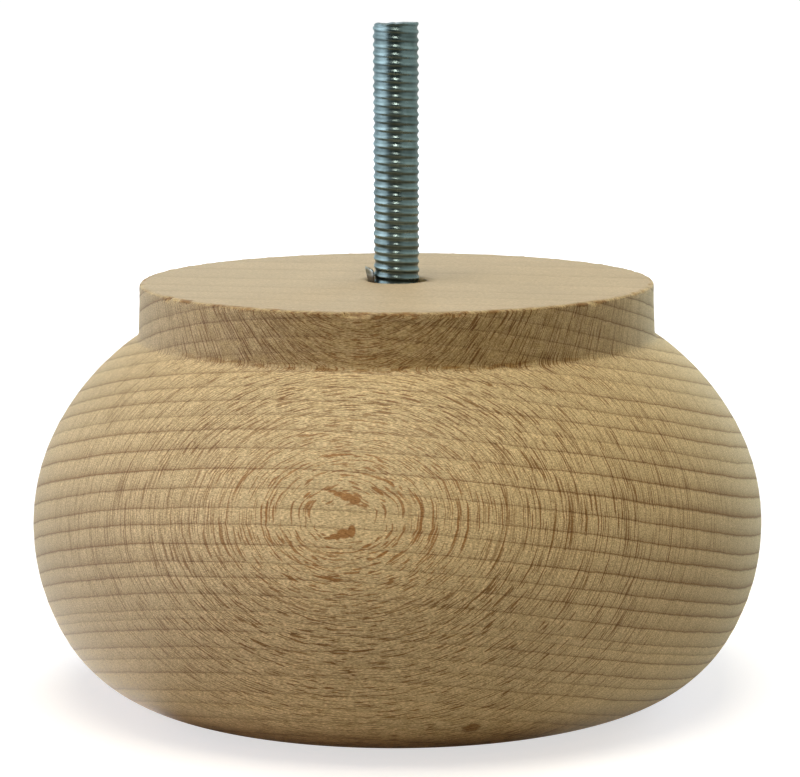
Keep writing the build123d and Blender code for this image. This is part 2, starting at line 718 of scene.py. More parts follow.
@dataclass
class ThreadedInsert:
    """The insert in the wood, of which only its top ring shows."""

    around: int = 96
    bore: float = 4.05  # radius, mm
    outer: float = 5.17
    chamfer: float = 0.4
    end_rows: float = 5.0  # length at each end that has rows of its own, mm
    wear: float = 0.06  # unevenness of the top ring, mm

    def section(self) -> np.ndarray:
        """Closed section of the ring, up the outside and down the bore.

        Returns:
            Radius and height of each corner, in millimetres.
        """
        top, low, cut = INSERT_TOP, INSERT_TOP - INSERT_LENGTH, self.chamfer
        return np.array(
            [
                [self.bore, low + cut],
                [self.bore + cut, low],
                [self.outer - cut, low],
                [self.outer, low + cut],
                [self.outer, low + self.end_rows],
                [self.outer, top - self.end_rows],
                [self.outer, top - 0.25],
                [self.outer - 0.06, top - 0.08],
                [self.outer - 0.22, top],
                [self.bore + 0.38, top],
                [self.bore + 0.28, top - 0.05],
                [self.bore, top - 0.35],
                [self.bore, top - self.end_rows],
            ]
        )

    def build(self, material: bpy.types.Material) -> bpy.types.Object:
        """Sweeps the closed section round the axis, with a worn top ring.

        Args:
            material: the metal.

        Returns:
            The piece.
        """
        section = self.section()
        a = np.arange(self.around) * FULL_TURN / self.around
        radii, heights = section[:, :1], section[:, 1:]
        worn = self.wear * (1 + ripple(a * 3, FULL_TURN, 51, 3))
        heights = heights - worn * (heights > INSERT_TOP - 0.1)
        points = round_points(radii, heights, a).reshape(-1, 3) * MM
        quads = grid_quads(len(section), self.around, join_rows=True, join_columns=True)
        piece = mesh_object("insert_ring", points, quads)
        dress(piece, material, "threaded_insert")
        return piece


@dataclass
class MetalBurr:
    """Curl of metal that stands up from the insert's edge at the stud's left."""

    azimuth: float = -80.0  # degrees
    spread: float = 22.0  # half its width, degrees
    radius: float = 4.7  # mm
    height: float = 2.2  # above the top face
    wall: float = 0.24
    columns: int = 28
    rise: int = 14  # rows up one side

    def middle(self, t: np.ndarray, s: np.ndarray) -> np.ndarray:
        """Radius of the strip's middle surface, in millimetres.

        r = radius - 0.28 t + (0.25 - 0.2 t) s^1.5 (1 + 0.4 ripple) - 0.15 (1 - t) (1 - s)^2,
        so the back leans out as it rises.

        Args:
            t: across the strip, -1 at its left end and 1 beside the stud's front.
            s: up the strip, 0 at its foot and 1 at its top.

        Returns:
            Rows by columns.
        """
        curl = (0.25 - 0.2 * t) * s**1.5 * (1 + 0.4 * ripple(t, 1.1, 62, 3))
        return self.radius - 0.28 * t + curl - 0.15 * (1 - t) * (1 - s) ** 2

    def build(self, material: bpy.types.Material) -> bpy.types.Object:
        """Bends a thin strip round the stud.

        Its top edge is at height (1 - 0.05 t^2 - 0.25 max(t, 0)^3 + 0.12 ripple) above the
        face, so it falls off towards the front.

        Args:
            material: the metal.

        Returns:
            The piece.
        """
        t = np.linspace(-1, 1, self.columns)
        s = np.linspace(0, 1, self.rise)[:, None]
        a = math.radians(self.azimuth) + math.radians(self.spread) * t * (1 - 0.25 * s)
        edge = 1 - 0.05 * t**2 - 0.25 * np.clip(t, 0, 1) ** 3 + 0.12 * ripple(t, 0.8, 61, 3)
        low = INSERT_TOP - 0.6
        z = low + (FOOT_HEIGHT + self.height * edge - low) * s
        middle = self.middle(t, s)
        outer = round_points(middle + self.wall / 2, z, a)
        inner = round_points(middle - self.wall / 2, z, a)
        section = np.concatenate([outer, inner[::-1]], 0)
        rows = len(section)
        quads = grid_quads(rows, self.columns, join_rows=True)
        up = np.arange(self.rise - 1)
        ends = np.stack([up, up + 1, rows - 2 - up, rows - 1 - up], -1) * self.columns
        far_ends = ends[:, [0, 3, 2, 1]] + self.columns - 1
        quads = np.concatenate([quads, ends, far_ends])
        piece = mesh_object("thread_burr", section.reshape(-1, 3) * MM, quads)
        dress(piece, material, "")
        return piece


@dataclass(frozen=True)
class RayBlade:
    """One medullary ray near the surface, as a flat ellipsoid in the grain's frame, in mm."""

    radial: float
    tangent: float
    along: float
    half_radial: float
    half_thickness: float
    half_along: float


@dataclass(frozen=True)
class RaySheets:
    """Rays of one size: mean spacing in mm each way, and how much of the wood they take."""

    radial: float
    thickness: float
    along: float
    start: float  # noise level at which a ray begins to show
    full: float  # noise level at which it is as dark as it gets
    gain: float  # how dark that is
    lean: float  # sine of the angle between surface and rays from which they show
    until: float = 1.0  # the same sine, from which they thin out


@dataclass(frozen=True)
class ToolMark:
    """A bruise or scorch left by a tool, as an ellipsoid in mm."""

    centre: Triple
    half: Triple


@dataclass(frozen=True)
class RingBend:
    """How the growth rings curve through the piece, as the factors of a polynomial.

    With b and c in mm along the tangential and grain directions, a ring's place up the
    radius moves by tilt_b b + tilt_c c + bb b^2 + cc c^2 + bc b c + bbb b^3.
    """

    tilt_b: float = 0.0254
    tilt_c: float = -0.0005
    bb: float = -0.389e-3
    cc: float = 0.106e-3
    bc: float = 0.386e-3
    bbb: float = 1.253e-5
    stop: float = -75.0  # b behind which the curve runs on straight, mm
    stop_blend: float = 28.0


@dataclass(frozen=True, eq=False)
class WoodPlace:
    """Where a point of the wood lies, as its patterns read it, in mm."""

    tree: bpy.types.NodeTree
    turning: Pattern  # x, y and z from the base's centre
    height: Pattern
    from_axis: Pattern
    facing: Pattern  # 1 at the front, 0 at the sides
    on_top: Pattern  # 1 on the top face, 0 below the rim
    grain: Pattern  # the vector from the grain's origin
    radial: Pattern  # the same along each direction of the grain
    tangent: Pattern
    along: Pattern
    sideways: Pattern  # distance along the grain from the middle of the figure


@dataclass(frozen=True)
class BareBeech:
    """Sanded, unfinished beech: matt, with dark latewood lines, ray flecks and fine pores."""

    side: str = "D2BA88"
    face: str = "C7B08A"
    mottle_mm: float = 22.2  # spacing of the clouds of light and dark
    mottle: float = 0.30  # how far they swing
    quiet_face: float = 0.72  # how much fainter rings are on the sanded face
    faint_rays: float = 0.80  # the same for rays

    figure_middle: float = 8.0  # place along the grain of the middle of the figure, mm
    bend: RingBend = RingBend()
    drift_mm: float = 18.2  # slow and quick wandering of a ring, and how far each goes in mm
    drift: float = 0.7
    wobble_mm: float = 1.43
    wobble: float = 0.34
    ring_reach: Span = (-40.0, 70.0)  # mm up the radius
    # Latewood lines: the place of each up the radius in mm, and how strong it is
    rings: tuple[float, ...] = (
        -33.23, -31.23, -29.03, -27.23, -24.53, -22.53, -20.83, -18.23, -16.63, -15.33, -12.73,
        -10.13, -7.83, -5.03, -1.93, 0.67, 3.87, 6.97, 10.37, 13.57, 16.07, 18.77, 21.27, 23.97,
        27.07, 29.47, 32.3, 34.6, 37.5, 40.1, 42.3, 45.2, 47.9, 50.2, 53.3, 55.9, 58.2, 61.2, 64.0,
    )
    strengths: tuple[float, ...] = (
        1.0, 0.85, 0.8, 1.0, 1.1, 0.8, 1.2, 1.15, 0.7, 0.9, 1.15,
        1.3, 1.25, 1.4, 1.3, 1.25, 1.15, 1.6, 1.3, 1.25, 0.7, 1.15, 0.95, 1.15,
        0.6, 0.9, 1.1, 0.8, 1.2, 1.0, 1.1, 0.9, 1.2, 0.9, 1.1, 1.0, 0.9, 1.1, 1.0,
    )
    # Across one ring, pith side up: pale earlywood, then a sharp dark line and a slow return
    dark_line: tuple[Span, ...] = (
        (0.0, 0.02), (0.36, 0.0), (0.44, 0.35), (0.475, 1.0), (0.50, 0.92),
        (0.535, 0.52), (0.62, 0.36), (0.75, 0.20), (0.9, 0.07), (1.0, 0.02),
    )
    pale_band: tuple[Span, ...] = (
        (0.0, 0.25), (0.25, 0.9), (0.38, 1.0), (0.45, 0.0), (0.6, 0.0), (0.85, 0.1), (1.0, 0.25),
    )
    line_tint: str = "BCA690"
    pale_gain: Triple = (1.10, 1.09, 1.06)
    line_strength: Change = (8.0, 48.0, 0.52, 0.80)  # over the distance from the figure, mm
    line_strength_right: Change = (5.0, 45.0, 1.0, 1.3)  # over the place along the grain
    line_sharpness: Change = (12.0, 45.0, 2.0, 1.0)  # a power, over the same distance

    sheets: tuple[RaySheets, ...] = (
        RaySheets(5.0, 0.05, 1.8, 0.57, 0.64, 0.9, 0.045, 0.36),
        RaySheets(10.0, 0.075, 3.0, 0.605, 0.645, 0.9, 0.13, 0.46),
        RaySheets(13.0, 0.16, 4.5, 0.645, 0.685, 0.85, 0.34),
        RaySheets(8.0, 0.15, 3.0, 0.602, 0.625, 1.0, 0.30),
        RaySheets(5.0, 0.36, 2.2, 0.60, 0.68, 0.40, 0.62),
    )
    # The first eight are the two wedge-shaped flecks above and below the spot on the
    # front where the surface touches a ray, and the others lie round it
    blades: tuple[RayBlade, ...] = (
        RayBlade(3.70, 0.0, -2.46, 0.30, 0.9, 0.95),
        RayBlade(3.31, 0.0, -1.33, 0.52, 0.9, 1.15),
        RayBlade(2.93, 0.0, -0.03, 0.80, 0.9, 1.30),
        RayBlade(2.47, 0.0, 1.26, 0.85, 0.9, 1.10),
        RayBlade(-3.71, 0.0, -2.46, 0.30, 0.9, 0.95),
        RayBlade(-3.40, 0.0, -1.33, 0.54, 0.9, 1.15),
        RayBlade(-2.90, 0.0, -0.05, 0.92, 0.9, 1.35),
        RayBlade(-2.45, 0.0, 1.15, 1.20, 0.9, 0.72),
        RayBlade(4.5, -0.51, 5.04, 1.3, 0.045, 1.8),
        RayBlade(5.9, -0.83, 6.38, 1.3, 0.055, 1.5),
        RayBlade(0.5, -1.15, 11.26, 6.0, 0.05, 1.9),
        RayBlade(9.7, -1.45, -2.28, 1.2, 0.07, 3.2),
        RayBlade(-9.9, -1.45, -2.28, 1.2, 0.07, 3.2),
        RayBlade(-0.3, -1.51, -13.8, 2.6, 0.035, 0.6),
        RayBlade(-0.2, -1.32, -12.8, 2.6, 0.040, 0.6),
        RayBlade(-0.3, -1.12, -11.8, 2.4, 0.035, 0.6),
        RayBlade(-0.2, -2.85, 18.6, 5.5, 0.055, 1.3),
        RayBlade(-0.4, -2.41, 17.0, 5.0, 0.045, 1.1),
        RayBlade(-0.4, -4.92, 23.4, 10.0, 0.07, 1.8),
        RayBlade(-1.6, -0.72, 9.4, 1.2, 0.04, 0.5),
        RayBlade(-5.0, -0.46, 3.92, 1.2, 0.045, 1.2),
        RayBlade(-5.9, -0.81, 6.52, 1.2, 0.05, 1.5),
        RayBlade(3.2, -0.54, -6.9, 1.0, 0.045, 1.2),
        RayBlade(-10.2, -1.97, -8.29, 2.0, 0.06, 1.9),
        RayBlade(-10.8, -2.82, -12.5, 1.6, 0.05, 1.3),
    )
    ray_warp: float = 0.0015  # how the sheets fan out, for each mm up the radius
    sway_mm: float = 8.33  # spacing of the sheets' waves, and how far they swing in mm
    sway: float = 0.22
    near_ray_tint: str = "C7A27C"  # where the surface lies along the rays
    far_ray_tint: str = "AD9376"  # where it cuts across them
    ray_tint_change: Span = (0.22, 0.45)  # sines between which the tint changes
    thinned: float = 0.35  # what is left of rays that thin out, over a sine of 0.3
    steep_fade: Change = (0.76, 0.95, 1.0, 0.22)  # towards the sides, where rays run steep
    side_fade: Span = (16.0, 42.0)  # distances from the figure between which that counts
    left_fade: Change = (-55.0, -20.0, 0.5, 1.0)  # over the place along the grain

    marks: tuple[ToolMark, ...] = (
        ToolMark((-34.7, -27.8, 71.3), (1.7, 1.4, 0.5)),
        ToolMark((-7.0, -43.9, 71.25), (2.9, 0.9, 0.45)),
        ToolMark((30.2, -32.5, 71.15), (2.2, 1.8, 0.45)),
        ToolMark((11.7, -53.6, 6.1), (1.8, 1.8, 1.3)),
    )
    mark_tint: str = "C4AD90"
    mark_edge: Span = (1.5, 1.1)  # distance from its centre, where 1 is a half size
    front_side: Span = (0.45, 0.92)  # cosines of the azimuth between which it begins
    # Painted shade on the collar's front, made patchy
    collar_front_shade_tint: str = "DBD3BF"
    collar_front_shade_heights: Limits = ((61.9, 62.6), (71.2, 71.45))  # these and the next, mm
    # Darker towards the bottom edge of the heel
    heel_tint: str = "E7CEB8"
    heel_heights: Span = (6.5, 2.0)
    tear_tint: str = "D4BF9E"
    tear_heights: Limits = ((61.9, 62.15), (62.7, 63.1))
    rim_tint: str = "DAC4A6"
    rim_heights: Limits = ((70.6, 71.15), (71.46, 71.5))
    rim_radii: Limits = ((43.4, 43.7), (46.0, 47.0))
    # Darker round the mouth of the hole
    hole_mouth_tint: str = "BFB195"
    hole_mouth_radii: Limits = ((4.0, 5.0), (5.3, 7.2))

    # Pores are less than 0.1 mm across; they are drawn about 0.17 mm wide, one pixel of
    # the photograph, so that they show
    pore_mm: Triple = (0.17, 0.16, 0.52)
    pore_contrast: Span = (2.3, 1.5)  # on the sides and on the sanded face
    pore_swing: Triple = (0.43, 0.50, 0.60)  # of red, green and blue about the wood's own
    roughness: Change = (0.3, 0.7, 0.48, 0.64)  # over the pores' noise

    def places(self, tree: bpy.types.NodeTree) -> WoodPlace:
        """Works out where a point of the wood lies.

        Args:
            tree: the material's tree.

        Returns:
            The place in the turning's frame and in the grain's.
        """
        metres = add_node(tree, "TexCoord", output="Object")
        turning = add_node(tree, "VectorMath", (metres, (1000.0,) * 3), operation="MULTIPLY")
        apart = add_node(tree, "SeparateXYZ", (turning,)).node
        x, y, z = (Pattern(apart, i) for i in range(3))
        from_axis = add_node(tree, "Math", (x * x + y * y,), operation="SQRT")
        reach = add_node(tree, "Math", (from_axis, 1.0), operation="MAXIMUM")
        grain = add_node(tree, "VectorMath", (turning, GRAIN_ORIGIN), operation="SUBTRACT")
        radial, tangent, along = (
            add_node(tree, "VectorMath", (grain, axis), "Value", operation="DOT_PRODUCT")
            for axis in (GRAIN_RADIAL, GRAIN_TANGENT, GRAIN_ALONG)
        )
        return WoodPlace(
            tree=tree,
            turning=turning,
            height=z,
            from_axis=from_axis,
            facing=add_node(tree, "Math", (y * -1.0, reach), operation="DIVIDE"),
            on_top=add_node(tree, "MapRange", (z, FOOT_HEIGHT - 0.20, FOOT_HEIGHT - 0.02)),
            grain=grain,
            radial=radial,
            tangent=tangent,
            along=along,
            sideways=add_node(tree, "Math", (along - self.figure_middle,), operation="ABSOLUTE"),
        )

    def ring_place(self, at: WoodPlace) -> Pattern:
        """Place up the radius with the rings' bend and wandering taken out.

        It is the radial place plus the polynomial of RingBend and two layers of noise.
        Behind the stop, b is held with a soft corner in all but the tilt, so no ring
        turns back.

        Args:
            at: the place in the wood.

        Returns:
            The place, 0 to 1 over ring_reach.
        """
        tree, bend = at.tree, self.bend
        held = (at.tangent, bend.stop, bend.stop_blend)
        b = add_node(tree, "Math", held, operation="SMOOTH_MAX")
        c = at.along
        curve = b * (b * (b * bend.bbb + bend.bb) + c * bend.bc) + c * c * bend.cc
        tilt = at.tangent * bend.tilt_b + c * bend.tilt_c
        slow = add_node(tree, "TexNoise", {"Vector": at.grain, "Scale": 1 / self.drift_mm})
        quick = add_node(tree, "TexNoise", {"Vector": at.grain, "Scale": 1 / self.wobble_mm})
        wander = (slow - 0.5) * self.drift + (quick - 0.5) * self.wobble
        place = at.radial + wander + curve + tilt
        return add_node(tree, "MapRange", (place, *self.ring_reach))

    def growth_rings(self, at: WoodPlace) -> tuple[Pattern, list[Layer]]:
        """Dark latewood lines and the pale bands before them.

        A curve takes the place up the radius to a count of rings, so that each ring may
        have a width of its own. Its fraction is the place across one ring.

        Args:
            at: the place in the wood.

        Returns:
            How much of a dark line there is, and the layers.
        """
        tree = at.tree
        place = self.ring_place(at)
        low, high = self.ring_reach
        unit = [(x - low) / (high - low) for x in self.rings]
        span = len(self.rings) + 2.0
        count = add_node(tree, "FloatCurve", {1: place})
        steps = [(x, (i + 1.5) / span) for i, x in enumerate(unit)]
        set_curve(count.node.mapping.curves[0], [(0.0, 0.0), *steps, (1.0, 1.0)])
        across = add_node(tree, "Math", (count * span,), operation="FRACT")
        weight = add_node(tree, "FloatCurve", {1: place})
        halves = [(x, strength / 2) for x, strength in zip(unit, self.strengths)]
        set_curve(weight.node.mapping.curves[0], [(0.0, 0.5), *halves, (1.0, 0.5)])

        line = add_node(tree, "ValToRGB", (across,))
        set_ramp(line.node.color_ramp, self.dark_line)
        pale = add_node(tree, "ValToRGB", (across,))
        set_ramp(pale.node.color_ramp, self.pale_band)
        quiet = 1.0 - at.on_top * self.quiet_face
        shown = add_node(tree, "MapRange", (at.sideways, *self.line_strength))
        shown = shown * add_node(tree, "MapRange", (at.along, *self.line_strength_right))
        sharpness = add_node(tree, "MapRange", (at.sideways, *self.line_sharpness))
        sharp = add_node(tree, "Math", (line, sharpness), operation="POWER")
        lines = sharp * (weight * 2.0) * (quiet * shown)
        glow = pale * quiet * 0.5
        return lines, [(lines, linear(self.line_tint)), (glow, (*self.pale_gain, 1.0))]

    def rays(self, at: WoodPlace) -> tuple[Pattern, list[Layer]]:
        """Medullary rays: long up the radius, a few mm along the grain, and thin.

        The surface cuts the sheets into flecks where it lies along them, into dashes
        below and above, and into hairlines at the sides. The lean is the sine of the
        angle between them, sqrt(1 - (normal . tangent)^2).

        Args:
            at: the place in the wood.

        Returns:
            How much of a ray there is, and the layers.
        """
        tree = at.tree
        normal = add_node(tree, "TexCoord", output="Normal")
        dot = add_node(
            tree, "VectorMath", (normal, GRAIN_TANGENT), "Value", operation="DOT_PRODUCT"
        )
        squared = add_node(tree, "Math", (1.0 - dot * dot, 0.0), operation="MAXIMUM")
        lean = add_node(tree, "Math", (squared,), operation="SQRT")
        steep = add_node(tree, "MapRange", (lean, *self.steep_fade))
        aside = add_node(tree, "MapRange", (at.sideways, *self.side_fade))
        fade = 1.0 - aside * (1.0 - steep)
        fade = fade * add_node(tree, "MapRange", (at.along, *self.left_fade))

        flat = at.radial * at.tangent * self.ray_warp + at.tangent
        sway = add_node(tree, "TexNoise", {"Vector": at.grain, "Scale": 1 / self.sway_mm})
        swayed = add_node(tree, "CombineXYZ", (at.radial, sway * self.sway + flat, at.along))
        shown = []
        for kind in self.sheets:
            sizes = (kind.radial, kind.thickness, kind.along)
            spot = add_node(tree, "VectorMath", (swayed, sizes), operation="DIVIDE")
            noise = {"Vector": spot, "Scale": 1.0, "Detail": 1.0, "Roughness": 0.4}
            cloud = add_node(tree, "TexNoise", noise)
            cut = add_node(tree, "MapRange", (cloud, kind.start, kind.full, 0.0, kind.gain))
            begun = add_node(tree, "MapRange", (lean, kind.lean, kind.lean * 1.5))
            thins = (lean, kind.until, kind.until + 0.3, 1.0, self.thinned)
            left = add_node(tree, "MapRange", thins)
            shown.append(cut * left * (begun * fade))
        still = add_node(tree, "CombineXYZ", (at.radial, flat, at.along))
        for blade in self.blades:
            centre = (blade.radial, blade.tangent, blade.along)
            half = (blade.half_radial, blade.half_thickness, blade.half_along)
            far = from_centre(still, centre, half)
            shown.append(add_node(tree, "MapRange", (far, 1.0, 0.75)))
        ray = highest(shown) * (1.0 - at.on_top * self.faint_rays)
        outer = add_node(tree, "MapRange", (lean, *self.ray_tint_change))
        tints = {0: outer, 6: linear(self.near_ray_tint), 7: linear(self.far_ray_tint)}
        brown = add_node(tree, "Mix", tints, 2, data_type="RGBA")
        return ray, [(ray, brown)]

    def patches(self, at: WoodPlace, sizes: Triple, edge: Span) -> Pattern:
        """Irregular patches.

        Args:
            at: the place in the wood.
            sizes: their mean spacing in mm across, deep and up.
            edge: noise levels between which a patch goes from 0 to 1.

        Returns:
            1 inside a patch and 0 outside it.
        """
        spot = add_node(at.tree, "VectorMath", (at.turning, sizes), operation="DIVIDE")
        cloud = add_node(at.tree, "TexNoise", {"Vector": spot, "Scale": 1.0})
        return add_node(at.tree, "MapRange", (cloud, *edge))

    def tool_marks(self, at: WoodPlace) -> list[Layer]:
        """Marks that darken the wood, and painted shade.

        They are the bruises, tears in the hollow and the broken rim, painted shade on the
        collar's front, and darker wood at the heel's edge and round the mouth of the hole.

        Args:
            at: the place in the wood.

        Returns:
            The layers.
        """
        tree, z = at.tree, at.height
        front = add_node(tree, "MapRange", (at.facing, *self.front_side))
        # Painted shade on the collar's front, broken into patches
        collar = band(z, *self.collar_front_shade_heights) * front
        collar = collar * (self.patches(at, (2.4, 2.4, 1.3), (0.38, 0.62)) * 0.6 + 0.65)
        # Darker towards the bottom edge of the heel
        heel = add_node(tree, "MapRange", (z, *self.heel_heights))
        tears = band(z, *self.tear_heights) * front
        tears = tears * self.patches(at, (3.2, 3.2, 0.9), (0.46, 0.54))
        rim = band(z, *self.rim_heights) * band(at.from_axis, *self.rim_radii)
        rim = rim * self.patches(at, (2.6, 2.6, 2.0), (0.50, 0.62))
        # Darker round the mouth of the hole
        hole_mouth = band(at.from_axis, *self.hole_mouth_radii) * at.on_top
        hole_mouth = hole_mouth * self.patches(at, (2.2, 2.2, 2.2), (0.30, 0.62))
        ragged = self.patches(at, (0.7, 0.7, 0.7), (0.0, 1.0))
        bruises = []
        for mark in self.marks:
            far = from_centre(at.turning, mark.centre, mark.half) + ragged
            bruises.append(add_node(tree, "MapRange", (far, *self.mark_edge)))
        return [
            (highest(bruises), linear(self.mark_tint)),
            (collar, linear(self.collar_front_shade_tint)),
            (heel, linear(self.heel_tint)),
            (tears, linear(self.tear_tint)),
            (rim, linear(self.rim_tint)),
            (hole_mouth, linear(self.hole_mouth_tint)),
        ]

    def pores(self, at: WoodPlace) -> tuple[Pattern, list[Layer]]:
        """Fine pores, longer along the grain, darker than the wood or catching the light.

        Args:
            at: the place in the wood.

        Returns:
            The pores' noise, and the layers.
        """
        tree = at.tree
        place = add_node(tree, "CombineXYZ", (at.radial, at.tangent, at.along))
        grit = add_node(tree, "VectorMath", (place, self.pore_mm), operation="DIVIDE")
        noise = add_node(tree, "TexNoise", {"Vector": grit, "Scale": 1.0, "Roughness": 0.6})
        contrast = add_node(tree, "MapRange", (at.on_top, 0.0, 1.0, *self.pore_contrast))
        speck = (noise - 0.5) * contrast + 0.5
        dark = tuple(1 - swing for swing in self.pore_swing) + (1.0,)
        bright = tuple(1 + swing for swing in self.pore_swing) + (1.0,)
        tint = add_node(tree, "Mix", {0: speck, 6: dark, 7: bright}, 2, data_type="RGBA")
        return noise, [(1.0, tint)]

    def build(self) -> bpy.types.Material:
        """Makes the wood: its own colour, multiplied by each layer's tint.

        Returns:
            The material.
        """
        # Bare sanded beech looks dry: the light spreads evenly, with hardly any gloss
        material, tree = new_material("bare_beech_sanded")
        at = self.places(tree)
        own = {0: at.on_top, 6: linear(self.side), 7: linear(self.face)}
        base = add_node(tree, "Mix", own, 2, data_type="RGBA")
        noise = {"Vector": at.grain, "Scale": 1 / self.mottle_mm, "Detail": 3.0, "Roughness": 0.55}
        cloud = (add_node(tree, "TexNoise", noise) - 0.5) * self.mottle + 1.0
        wood = add_node(tree, "VectorMath", {0: base, "Scale": cloud}, operation="SCALE")

        lines, ring_layers = self.growth_rings(at)
        ray, ray_layers = self.rays(at)
        pores, pore_layers = self.pores(at)
        for amount, tint in [*ring_layers, *ray_layers, *self.tool_marks(at), *pore_layers]:
            layer = {0: amount, 6: wood, 7: tint}
            wood = add_node(tree, "Mix", layer, 2, data_type="RGBA", blend_type="MULTIPLY")

        # The dark lines and, less, the rays lie lower than the wood between them
        relief = pores * 0.5 - (lines + ray * 0.3) * 0.9
        bump = add_node(tree, "Bump", {"Strength": 0.25, "Distance": 0.0001, "Height": relief})
        rough = add_node(tree, "MapRange", (pores, *self.roughness))
        finish = {"Base Color": wood, "Roughness": rough, "Normal": bump}
        finish |= {"IOR": 1.5, "Specular IOR Level": 0.36}
        shader = add_node(tree, "BsdfPrincipled", finish)
        add_node(tree, "OutputMaterial", {"Surface": shader})
        return material


@dataclass(frozen=True)
class ZincPlate:
    """Bright zinc on steel, bluish and slightly uneven, with painted shade in its thread."""

    name: str
    colour: str = "94A9AC"
    dull: str = "7C8F8F"
    roughness: float = 0.27
    dust_and_shade_below: float = 0.0  # height in mm below which brown wood dust and painted shade cover it, or 0
    dust_and_shade: str = "4E4129"
    cloud_mm: float = 2.381  # spacing of dull clouds in the plating
    cloud_edge: Span = (0.38, 0.68)  # noise levels between bright and dull
    grit_mm: float = 0.1923  # spacing of the plating's fine bumps
    turn_mm: float = 1.786  # spacing of turns that differ in brightness
    root_shade: Change = (STUD_RADIUS - 0.18, STUD_RADIUS - 0.07, 0.68, 1.0)  # over the radius: painted shade in the roots
    under_shade: Change = (-0.42, -0.14, 0.60, 1.0)  # over the normal's z: painted shade under the flanks
    turn_shade: Change = (0.38, 0.60, 0.70, 1.06)  # over noise, from turn to turn

    def build(self) -> bpy.types.Material:
        """Makes the plated metal, duller where the plating is thin.

        Returns:
            The material.
        """
        # Zinc plate mirrors the room in soft streaks, cold on the crests, with shade painted into
        # the roots and under the flanks
        material, tree = new_material(self.name)
        metres = add_node(tree, "TexCoord", output="Object")
        cloud = {"Vector": metres, "Scale": 1000.0 / self.cloud_mm, "Detail": 4.0, "Roughness": 0.6}
        cloud = add_node(tree, "TexNoise", cloud)
        share = add_node(tree, "MapRange", (cloud, *self.cloud_edge))
        own = {0: share, 6: linear(self.colour), 7: linear(self.dull)}
        tint = add_node(tree, "Mix", own, 2, data_type="RGBA")

        across = (1000.0, 1000.0, 0.0)
        flat = add_node(tree, "VectorMath", (metres, across), operation="MULTIPLY")
        reach = add_node(tree, "VectorMath", (flat,), "Value", operation="LENGTH")
        normal = add_node(tree, "TexCoord", output="Normal")
        upward = add_node(tree, "SeparateXYZ", (normal,), 2)
        height = add_node(tree, "SeparateXYZ", (metres,), 2)
        turn = {"W": height * (1000.0 / self.turn_mm), "Scale": 1.0, "Detail": 1.0}
        turn = add_node(tree, "TexNoise", turn, noise_dimensions="1D")
        # Painted shade: darker in the roots and on the downward flanks, which dims what they
        # reflect
        shade = add_node(tree, "MapRange", (reach, *self.root_shade))
        shade = shade * add_node(tree, "MapRange", (upward, *self.under_shade))
        shade = shade * add_node(tree, "MapRange", (turn, *self.turn_shade))
        tint = add_node(tree, "VectorMath", {0: tint, "Scale": shade}, operation="SCALE")

        rough = (cloud, 0.3, 0.7, self.roughness - 0.05, self.roughness + 0.14)
        rough = add_node(tree, "MapRange", rough)
        grit = {"Vector": metres, "Scale": 1000.0 / self.grit_mm}
        grit = add_node(tree, "TexNoise", grit)
        bump = add_node(tree, "Bump", {"Strength": 0.12, "Distance": 0.00003, "Height": grit})
        finish = {"Base Color": tint, "Metallic": 1.0, "Roughness": rough, "Normal": bump}
        if self.dust_and_shade_below:
            # The clouds move the edge of the dust and painted shade up and down
            edge = cloud * (1.6 * MM) + height
            ends = ((self.dust_and_shade_below + 0.6) * MM, (self.dust_and_shade_below + 1.1) * MM)
            clean = add_node(tree, "MapRange", (edge, *ends))
            # Brown below the edge: wood dust, and painted shade in the hole and on the burr's foot
            covered = {0: clean, 6: linear(self.dust_and_shade), 7: tint}
            finish["Base Color"] = add_node(tree, "Mix", covered, 2, data_type="RGBA")
            finish["Metallic"] = clean
        shader = add_node(tree, "BsdfPrincipled", finish)
        add_node(tree, "OutputMaterial", {"Surface": shader})
        return material


class Ray(Enum):
    """Kinds of ray that see the white background."""

    CAMERA = "Is Camera Ray"
    GLOSSY = "Is Glossy Ray"
    TRANSMISSION = "Is Transmission Ray"


def sees_background(tree: bpy.types.NodeTree) -> Pattern:
    """1 for camera, glossy and transmission rays, and 0 for the others."""
    path = add_node(tree, "LightPath").node
    return highest([Pattern(path, ray.value) for ray in Ray])


@dataclass(frozen=True)
class Softbox:
    """A square area lamp that looks at the foot."""

    name: str
    azimuth: float  # degrees
    elevation: float
    distance: float
    size: float
    share: float  # of the light at which a colour renders as it is written
    colour: str
    aim: Triple = (0.0, 0.0, 0.045)

    def build(self) -> None:
        """Hangs the lamp; a flat surface facing it gets share times pi of light."""
        data = bpy.data.lights.new(self.name, "AREA")
        data.shape, data.size = "SQUARE", self.size
        data.energy = self.share * math.pi**2 * self.distance**2
        data.color = linear(self.colour)[:3]
        lamp = bpy.data.objects.new(self.name, data)
        a, e = math.radians(self.azimuth), math.radians(self.elevation)
        away = Vector((math.sin(a) * math.cos(e), -math.cos(a) * math.cos(e), math.sin(e)))
        lamp.location = Vector(self.aim) + away * self.distance
        lamp.rotation_euler = away.to_track_quat("Z", "Y").to_euler()
        # The metal shows the painted reflections of the room and the glint card in place of the
        # lamps
        lamp.visible_glossy = False
        bpy.context.scene.collection.objects.link(lamp)


